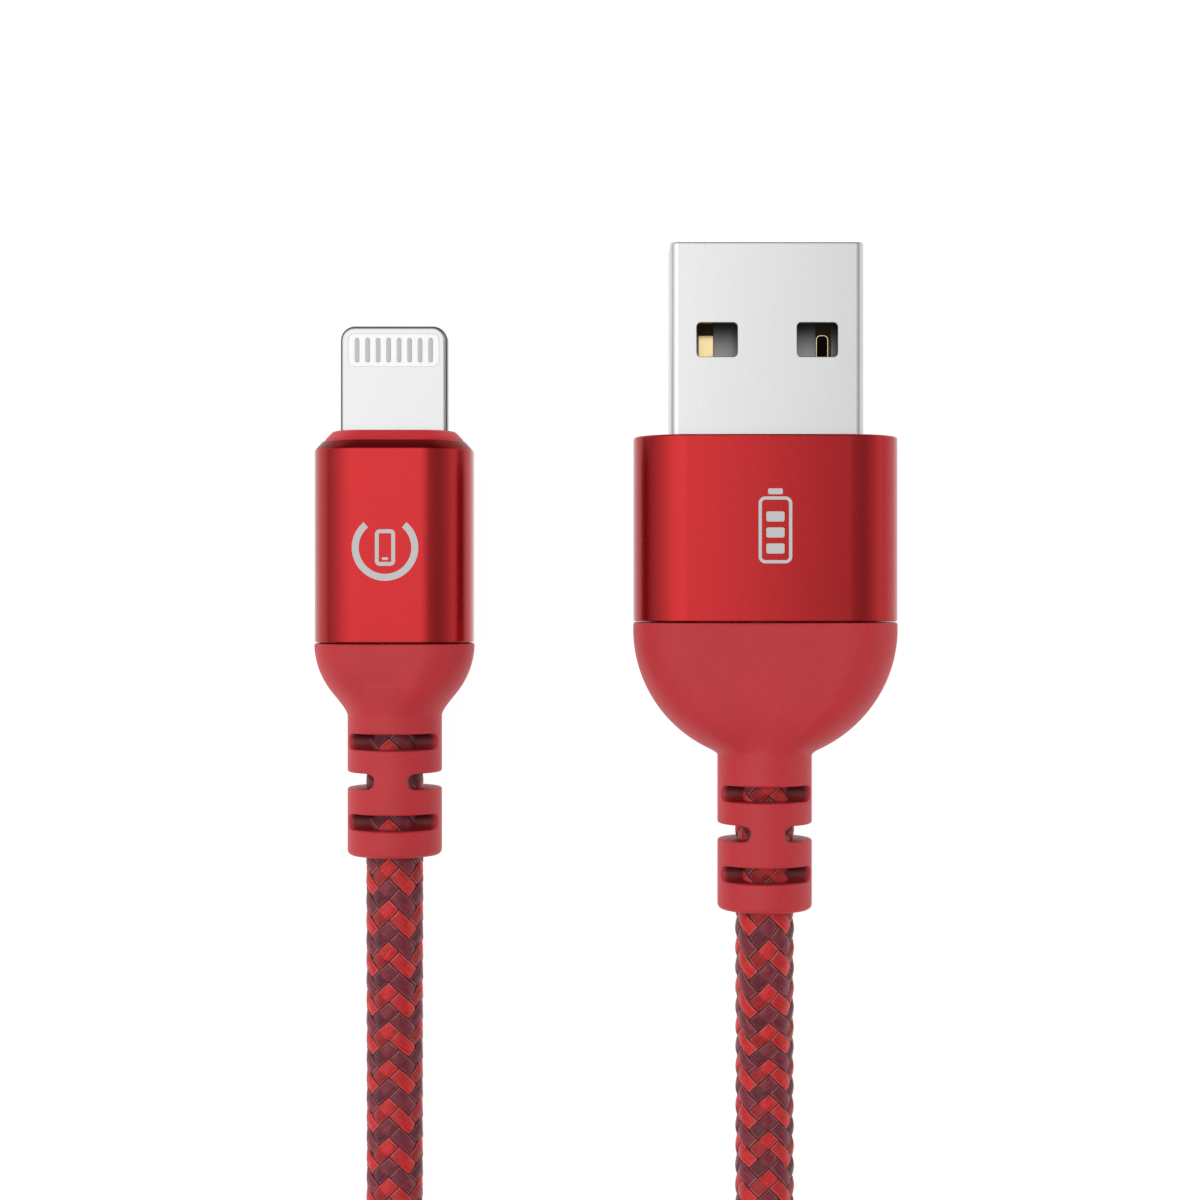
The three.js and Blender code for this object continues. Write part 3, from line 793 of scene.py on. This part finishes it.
boot_usb = boot("usb_boot_moulding", USB_AT, 8.26, 3.9, 8.24, -0.47, 3.2, 3.2, [-10.66, -13.1, -15.68], USB_END, -6.6, 0.55, "usb_plug", "usb_boot")
boot_phone = boot("phone_boot_moulding", PHONE_AT, 5.01, 3.45, 5.01, 0.0, 2.8, 3.0, [-6.13, -8.58, -11.15], PHONE_END, -3.1, 0.95, "phone_plug", "phone_boot")


def bend(o):
    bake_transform(o)


for o in (boot_usb, entry_usb):
    bend(o)
for o in (boot_phone, entry_phone):
    bend(o)


# ---------------------------------------------------------------- sleeves, collar, shell, tab
def sweep(name, profile, mat, at, body, node, sharp=35, crown=0.0):
    """A closed ring of rounded rectangles: profile is [width, height, corner, y]. crown: fall of the broad faces at 5 mm from the middle."""
    rings = [rr(*p) for p in profile]
    if crown:
        long = [k for k, (a, b) in enumerate(zip(rings[0], rings[0][1:])) if abs(a[0] - b[0]) > 2]
        for j, ring in enumerate(rings):
            out = []
            for k, a in enumerate(ring):
                out.append(a)
                if k in long:
                    b = ring[k + 1]
                    out += [tuple(p + (q - p) * i / 24 for p, q in zip(a, b)) for i in range(1, 24)]
            rings[j] = [(x, y, z - crown * (x / 5.05) ** 2 * z / 3.9) for x, y, z in out]
    verts, faces = rings_mesh(rings, closed=True)
    o = fix_normals(make(name, verts, faces, mat, at, sharp=sharp))
    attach(o, body)
    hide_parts(node)
    return o


def edge_round(w, h, r, y, e, front=True, n=4):
    """Rings that round an outer edge at y by e. front: the edge is at the +Y end."""
    out = []
    for k in range(n + 1):
        a = math.pi / 2 * k / n
        i, dy = e * (1 - math.cos(a)), e * (1 - math.sin(a))
        out.append((w - 2 * i, h - 2 * i, r - i, y - dy if front else y + dy))
    return out


W, H, R, L = 16.5, 7.8, 3.2, 11.57
prof = edge_round(W, H, R, 0.06, 0.10, front=False)[::-1]
prof += [(W, H, R, 0.2), (W, H, R, L - 0.16)]
prof += edge_round(W, H, R, L, 0.12)
prof += [(12.34, 4.84, 0.62, L), (12.24, 4.74, 0.57, L - 0.01), (12.16, 4.66, 0.53, L - 0.04), (12.12, 4.62, 0.5, L - 0.10)]
prof += [(12.12, 4.62, 0.5, L - 0.7), (15.4, 6.7, 2.65, L - 0.7), (15.4, 6.7, 2.65, 0.06)]
sleeve_usb = sweep("usb_sleeve_anodised", prof, m_anodised, USB_AT, "usb_plug", "usb_sleeve", crown=0.09)

W, H, R, L = 9.95, 6.9, 3.0, 12.66
prof = edge_round(W, H, R, 0.06, 0.10, front=False)[::-1]
prof += [(W, H, R, 0.2), (W, H, R, L - 0.64), (W - 0.01, H - 0.01, R, L - 0.58), (W - 0.05, H - 0.05, R - 0.02, L - 0.545)]
prof += [(W - 0.12, H - 0.12, R - 0.06, L - 0.49), (W - 0.9, H - 0.9, R - 0.45, L - 0.05), (W - 0.97, H - 0.97, R - 0.48, L - 0.015), (W - 1.02, H - 1.02, R - 0.5, L)]
prof += [(8.85, 5.8, 2.45, L), (8.85, 5.8, 2.45, 0.06)]
sleeve_phone = sweep("phone_sleeve_anodised", prof, m_anodised, PHONE_AT, "phone_plug", "phone_sleeve")
# the polished chamfer takes its own finish, and its darker red is painted shade on faces that turn away from the light
sleeve_phone.data.materials.append(m_polished_and_shade)
for poly in sleeve_phone.data.polygons:
    cy = poly.center.y / MM - PHONE_AT[1]
    if L - 0.56 < cy <= L - 0.01 and poly.normal.y > 0.3:
        poly.material_index = 1

prof = [(8.75, 5.7, 2.5, 11.5), (8.75, 5.7, 2.5, 12.60), (8.74, 5.69, 2.5, 12.68), (8.68, 5.62, 2.46, 12.76), (8.5, 5.44, 2.38, 12.88), (8.22, 5.16, 2.25, 13.04),
        (7.92, 4.87, 2.12, 13.19), (7.78, 4.73, 2.06, 13.25), (7.68, 4.63, 2.0, 13.285), (7.56, 4.51, 1.95, 13.3),
        (6.95, 1.75, 0.12, 13.3), (6.86, 1.66, 0.08, 13.27), (6.8, 1.6, 0.05, 13.2), (6.8, 1.6, 0.05, 11.5)]
collar = sweep("phone_collar_lip", prof, m_collar, PHONE_AT, "phone_plug", "phone_collar")

# USB shell: folded sheet with two latch holes in each broad face.
prof = edge_round(12.0, 4.5, 0.45, 23.6, 0.13)
prof += [(11.58, 4.08, 0.26, 23.6), (11.48, 3.98, 0.22, 23.56), (11.4, 3.9, 0.2, 23.45), (11.4, 3.9, 0.2, 4.6), (12.0, 4.5, 0.45, 4.6), (12.0, 4.5, 0.45, 23.4)]
verts, faces = rings_mesh([rr(*p, n=8) for p in prof], closed=True)
shell = fix_normals(make("usb_shell_stamped", verts, faces, m_steel, USB_AT))
cuts = []
for sx in (-1, 1):
    cuts.append(prism_xy("cut", rect_outline(2.54, 2.11, 0.27, sx * 3.105, 17.53, 8), -4, 4, m_steel, USB_AT))
for sx in (-1, 1):
    for sz in (-1, 1):
        # a soft edge round each hole
        o1 = rect_outline(2.54, 2.11, 0.27, sx * 3.105, 17.53, 8)
        zs = [(0.0, 2.25 - 0.045), (-0.012, 2.25 - 0.018), (-0.04, 2.25 + 0.001), (-0.14, 2.25 + 0.1)]
        rings = [[(x, y, sz * z) for x, y in o1(e)] for e, z in zs]
        verts, faces = rings_mesh(rings)
        cuts.append(fix_normals(make("cut", verts, faces, m_steel, USB_AT)))
boolean(shell, *cuts)
shell.data.polygons.foreach_set("use_smooth", [True] * len(shell.data.polygons))
shell.data.set_sharp_from_angle(angle=math.radians(28))
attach(shell, "usb_plug")
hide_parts("usb_metal_shell")


# The tongue's moulding: satin grey, with painted shade that darkens it towards the tip, inside the shell.
g = Nodes("insulator_grey_shell")
p = g.coord()
sepn = g.t.nodes.new("ShaderNodeSeparateXYZ")
g.t.links.new(p, sepn.inputs[0])
fine = g.noise(p, 12000, 2.0, 0.6)
g.set(
    Base_Color=g.mixc(g.step(sepn.outputs[1], 0.0134, 0.0160), (0.30, 0.30, 0.305), (0.045, 0.045, 0.047)),
    Roughness=g.step(fine, 0.2, 0.8, 0.30, 0.38), Normal=g.bump(fine, 0.08, 0.00002),
)
g.set(Metallic=0.8)
m_tongue = g.mat
# painted shade: a dark bronze for contact metal that lies in the shell's shade
m_shade = grained("contact_painted_shade", (0.050, 0.034, 0.013), 0.5, grain=12000, bump=0.1, vary=0.08, metal=0.9)
# painted shadow: a near-black finish for the shade inside the contact's slot
m_slot_shadow = grained("contact_slot_shadow", (0.003, 0.003, 0.003), 0.8, grain=9000, bump=0.05, vary=0.1, spec=0.1)

# Spring contacts: a raised wiping face that turns down towards the tip.
for i, cx in enumerate([-3.7, -1.15, 1.15, 3.7]):
    hw = 0.475
    line_yz = [(3.1, 0.10), (17.6, 0.10), (18.02, 0.098), (18.12, 0.075), (18.75, -0.155), (19.2, -0.165), (22.1, -0.165)]
    rings = []
    for y, z in line_yz:
        bot = -0.19 if y > 18 else -0.16
        rings.append([(cx - hw, y, bot), (cx + hw, y, bot), (cx + hw, y, z - 0.03), (cx + hw - 0.03, y, z), (cx - hw + 0.03, y, z), (cx - hw, y, z - 0.03)])
    verts, faces = rings_mesh(rings)
    o = fix_normals(make(f"usb_spring_contact_{i + 1}", verts, faces, m_shade if i == 3 else m_gold, USB_AT, sharp=20))
    # painted shade: the fourth contact takes the dark bronze all over
    if i == 3:
        boolean(o, prism_xy("cut", rect_outline(0.72, 4.1, 0.26, cx - 0.09, 15.98, 8), -0.05, 2, m_shade, USB_AT))
        o.data.set_sharp_from_angle(angle=math.radians(20))
        v1, f1 = flat_ring_of(rect_outline(0.76, 4.14, 0.28, cx - 0.09, 15.98, 8)(0), rect_outline(0.76, 4.14, 0.28, cx - 0.09, 15.98, 8)(0.045), 0.06, 0.112)
        rim = fix_normals(make("usb_contact_rim", v1, f1, m_gold, USB_AT, sharp=40))
        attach(rim, "usb_plug")
        # painted shadow: a black plate under the fourth contact's slot, for the shade inside it
        v1, f1 = rings_mesh([[(x, y, z) for x, y in rect_outline(0.70, 4.08, 0.25, cx - 0.09, 15.98, 8)(0)] for z in (-0.08, -0.03)])
        slot_shadow = fix_normals(make("usb_contact_slot_shadow", v1, f1, m_slot_shadow, USB_AT, sharp=40))
        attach(slot_shadow, "usb_plug")
    elif i == 0:
        # painted shade: the part that turns down lies in the shell's shade and is painted a dark bronze
        o.data.materials.append(m_shade)
        for poly in o.data.polygons:
            if poly.center.y / MM - USB_AT[1] > 18.07:
                poly.material_index = 1
    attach(o, "usb_plug")
    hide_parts(f"usb_contact_{i + 1}")


# Phone plug's tab: rounded edges, with a window for the contacts in both faces.
def tab_outline(e):
    a, top, r = 3.35 - e, 19.94 - e, 0.9 - e
    out = [(-a, 9.9 + e), (a, 9.9 + e)]
    for sx, q in ((1, 0), (-1, 1)):
        for i in range(13):
            t = math.pi / 2 * (q + i / 12)
            out.append((sx * (a - r) + r * math.cos(t), top - r + r * math.sin(t)))
    return out


def plate(name, outline, half, e, n, mat, at, bottom_y=None):
    # from face (inset e) to the side (inset 0)
    rings = [[(x, y, -half + e * (1 - math.cos(a))) for x, y in outline(e * (1 - math.sin(a)))] for a in [math.pi / 2 * k / n for k in range(n + 1)]]
    inner = [(x, y, -half) for x, y in outline(e + 0.03)]
    low = [inner] + rings
    high = [[(x, y, -z) for x, y, z in ring] for ring in reversed(low)]
    verts, faces = rings_mesh(low + high)
    return fix_normals(make(name, verts, faces, mat, at))


tab = plate("phone_tab_plate", tab_outline, 0.75, 0.25, 10, m_tab, PHONE_AT)
win = rect_outline(5.71, 2.07, 0.38, 0, 18.42, 8)
cuts = [prism_xy("cut", win, -2, 2, m_tab, PHONE_AT)]
boolean(tab, *cuts)
# painted shade: the tab's side faces take the darker copy of its steel
tab.data.materials.append(m_flank_painted_shade)
for poly in tab.data.polygons:
    c = poly.center / MM
    inside = abs(c.x - PHONE_AT[0]) < 2.95 and abs(c.y - PHONE_AT[1] - 18.42) < 1.1
    if abs(poly.normal.z) < 0.80 and not inside:
        poly.material_index = 1
tab.data.polygons.foreach_set("use_smooth", [True] * len(tab.data.polygons))
tab.data.set_sharp_from_angle(angle=math.radians(28))
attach(tab, "phone_plug")
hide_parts("phone_tab_frame")

ins = plate("phone_insulator_moulding", rect_outline(5.70, 2.06, 0.375, 0, 18.42, 8), 0.742, 0.012, 3, m_white, PHONE_AT)
ins.data.set_sharp_from_angle(angle=math.radians(40))
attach(ins, "phone_plug")
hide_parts("phone_insulator")

for face, sz in (("a", 1), ("b", -1)):
    for i in range(8):
        out = rect_outline(0.30, 1.56, 0.149, (i - 3.5) * 0.66, 18.42, 8)
        rings = [[(x, y, sz * z) for x, y in out(e)] for e, z in ((0, 0.66), (0, 0.745), (0.01, 0.752), (0.03, 0.756), (0.05, 0.757))]
        verts, faces = rings_mesh(rings)
        p = fix_normals(make(f"phone_contact_{face}{i + 1}", verts, faces, m_pad, PHONE_AT, sharp=40))
        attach(p, "phone_plug")
        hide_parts(f"phone_pad_{face}{i + 1}")


# ---------------------------------------------------------------- printed marks (generic pictograms)
flat_ring = flat_ring_of


def join_parts(name, parts, mat, at, body):
    verts, faces = [], []
    for v, f in parts:
        k = len(verts)
        verts += v
        faces += [tuple(i + k for i in face) for face in f]
    o = fix_normals(make(name, verts, faces, mat, at, sharp=40))
    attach(o, body)
    return o


def slab(outline, z0, z1):
    return rings_mesh([[(x, y, z0) for x, y in outline(0)], [(x, y, z1) for x, y in outline(0)]])


# USB plug: a battery with three charge bars
zt = 3.9
z0, z1 = zt - 0.02, zt + 0.012
cx, cy = 0.37, 5.93
parts = [flat_ring(rect_outline(2.06, 4.1, 0.42, cx, cy - 0.24)(0), rect_outline(2.06, 4.1, 0.42, cx, cy - 0.24)(0.2), z0, z1)]
parts.append(slab(rect_outline(0.9, 0.36, 0.1, cx, cy + 2.12), z0, z1))
for k in range(3):
    parts.append(slab(rect_outline(1.12, 0.62, 0.12, cx, cy - 1.38 + k * 0.98), z0, z1))
mark_usb = join_parts("usb_mark_battery", parts, m_mark, USB_AT, "usb_plug")

# phone plug: a handset in an open ring
zt = 3.45
z0, z1 = zt - 0.03, zt + 0.012
cx, cy = -0.28, 5.95
parts = []
n = 72
gap0, gap1 = math.radians(62), math.radians(118)


def arc_band(r0, r1, a0, a1, n=60):
    outer = [(cx + r1 * math.cos(a0 + (a1 - a0) * i / n), cy + r1 * math.sin(a0 + (a1 - a0) * i / n)) for i in range(n + 1)]
    inner = [(cx + r0 * math.cos(a0 + (a1 - a0) * i / n), cy + r0 * math.sin(a0 + (a1 - a0) * i / n)) for i in range(n + 1)]
    rings = []
    for (ox, oy), (ix, iy) in zip(outer, inner):
        rings.append([(ox, oy, z0), (ox, oy, z1), (ix, iy, z1), (ix, iy, z0)])
    return rings_mesh(rings)


parts.append(arc_band(1.62, 2.05, math.radians(130), math.radians(410)))
parts.append(flat_ring(rect_outline(1.25, 2.25, 0.3, cx, cy)(0), rect_outline(1.25, 2.25, 0.3, cx, cy)(0.24), z0, z1))
parts.append(slab(rect_outline(0.4, 0.16, 0.07, cx, cy - 0.68), z0, z1))
mark_phone = join_parts("phone_mark_handset", parts, m_mark, PHONE_AT, "phone_plug")

# ---------------------------------------------------------------- the hank's strap
hw, hh = 17.65 * 2, 8.7
prof = []
YS = YM


def band(w, h, r, y):
    return [(x + XC, y, z + hh / 2) for x, _, z in rr(w, h, r, 0, n=10)]


T = 0.9
rings = [
    band(hw - 0.5, hh - 0.5, 3.2, YS - 6.5), band(hw - 0.14, hh - 0.14, 3.35, YS - 6.38), band(hw, hh, 3.4, YS - 6.1),
    band(hw, hh, 3.4, YS - 3.0), band(hw, hh, 3.4, YS), band(hw, hh, 3.4, YS + 3.0), band(hw, hh, 3.4, YS + 6.1),
    band(hw - 0.14, hh - 0.14, 3.35, YS + 6.38), band(hw - 0.5, hh - 0.5, 3.2, YS + 6.5),
    band(hw - 2 * T + 0.1, hh - 2 * T + 0.1, 2.6, YS + 6.42), band(hw - 2 * T, hh - 2 * T, 2.55, YS + 6.0), band(hw - 2 * T, hh - 2 * T, 2.55, YS - 6.0),
    band(hw - 2 * T + 0.1, hh - 2 * T + 0.1, 2.6, YS - 6.42),
]
verts, faces = rings_mesh(rings, closed=True)
strap = fix_normals(make("hank_strap", verts, faces, m_strap, sharp=50))
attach(strap, "cable")
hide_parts("hank_tie")


def tab_strap(e):
    return rect_outline(15.0, 13.0, 2.4, XC + 5.5, YS, 8)(e)


flap_rings = [[(x, y, 8.66) for x, y in tab_strap(0.25)], [(x, y, 8.78) for x, y in tab_strap(0.0)], [(x, y, 9.12) for x, y in tab_strap(0.0)],
              [(x, y, 9.28) for x, y in tab_strap(0.10)], [(x, y, 9.34) for x, y in tab_strap(0.32)]]
verts, faces = rings_mesh(flap_rings)
flap = fix_normals(make("hank_strap_end", verts, faces, m_strap, sharp=50))
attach(flap, "cable")

# ---------------------------------------------------------------- finishes of the CAD nodes that stay
kept = {
    "usb_tongue": m_tongue, "usb_inner_mould": m_mould, "usb_crimp_ferrule": m_brass,
    "phone_lead_carrier": m_grey, "phone_board": m_board, "phone_controller": m_chip, "phone_shield_can": m_can,
    "phone_inner_mould": m_mould, "phone_crimp_ferrule": m_brass,
}
for i in range(4):
    kept[f"usb_wire_{i + 1}"] = m_wires[i]
    kept[f"phone_wire_{i + 1}"] = m_wires[i]
for name, mat in kept.items():
    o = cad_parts[name]
    o.data.materials.clear()
    o.data.materials.append(mat)

# ---------------------------------------------------------------- floor and light
bm = bmesh.new()
bmesh.ops.create_grid(bm, x_segments=4, y_segments=4, size=3.0)
me = bpy.data.meshes.new("floor")
bm.to_mesh(me)
bm.free()
floor = bpy.data.objects.new("floor", me)
bpy.context.scene.collection.objects.link(floor)
g = Nodes("floor_white")
g.set(Base_Color=(0.11, 0.11, 0.11), Roughness=0.9, Emission_Color=(1.0, 1.0, 1.0), Emission_Strength=0.96, Specular_IOR_Level=0.0)
floor.data.materials.append(g.mat)

world = bpy.data.worlds.new("studio")
bpy.context.scene.world = world
world.use_nodes = True
wt = world.node_tree
wt.nodes.clear()
wout = wt.nodes.new("ShaderNodeOutputWorld")
bg = wt.nodes.new("ShaderNodeBackground")
wt.links.new(bg.outputs[0], wout.inputs[0])
tc = wt.nodes.new("ShaderNodeTexCoord")
sp = wt.nodes.new("ShaderNodeSeparateXYZ")
wt.links.new(tc.outputs["Generated"], sp.inputs[0])


def wmath(op, a, b=None):
    n = wt.nodes.new("ShaderNodeMath")
    n.operation = op
    for i, v in enumerate((a, b)):
        if v is None:
            continue
        if isinstance(v, bpy.types.NodeSocket):
            wt.links.new(v, n.inputs[i])
        else:
            n.inputs[i].default_value = v
    return n.outputs[0]


def wramp(x, stops):
    n = wt.nodes.new("ShaderNodeValToRGB")
    n.color_ramp.interpolation = "LINEAR"
    while len(n.color_ramp.elements) < len(stops):
        n.color_ramp.elements.new(0.5)
    for e, (p, v) in zip(n.color_ramp.elements, stops):
        e.position = p
        e.color = (v, v, v, 1)
    wt.links.new(x, n.inputs[0])
    return n.outputs[0]


# A broad box overhead and a little to the left, dim from 15 to 50 degrees on the right, and a bright side beyond.
phi = wmath("ADD", wmath("DIVIDE", wmath("ARCTAN2", sp.outputs[0], sp.outputs[2]), 2 * math.pi), 0.5)
SIDE = [(-90, 0.30), (-82, 0.44), (-74, 0.60), (-62, 0.72), (-50, 0.92), (-35, 1.20), (-19, 1.34), (-6, 1.38), (0, 1.34), (4, 1.02), (8, 0.56), (12, 0.44), (17, 0.44), (30, 0.36), (43, 0.38), (55, 0.52), (65, 0.66), (74, 0.86), (83, 0.95), (90, 0.42)]
f = wramp(phi, [(0.5 + a / 360, v / 1.7) for a, v in SIDE])
psi = wmath("ADD", wmath("MULTIPLY", sp.outputs[1], 0.5), 0.5)  # 0 at -Y, 1 at +Y
gy = wramp(psi, [(0.0, 0.26), (0.2, 0.46), (0.35, 0.72), (0.45, 0.88), (0.5, 0.93), (0.587, 1.0), (0.68, 0.97), (0.8, 0.55), (0.92, 0.20), (1.0, 0.14)])
sky = wmath("MULTIPLY", wmath("MULTIPLY", f, gy), 1.7 * 1.08 * 1.3)
lp = wt.nodes.new("ShaderNodeLightPath")
mixn = wt.nodes.new("ShaderNodeMix")
mixn.data_type = "FLOAT"
wt.links.new(lp.outputs["Is Camera Ray"], mixn.inputs[0])
wt.links.new(sky, mixn.inputs[2])
mixn.inputs[3].default_value = 1.0
wt.links.new(mixn.outputs[0], bg.inputs["Strength"])
bg.inputs["Color"].default_value = (1, 1, 1, 1)
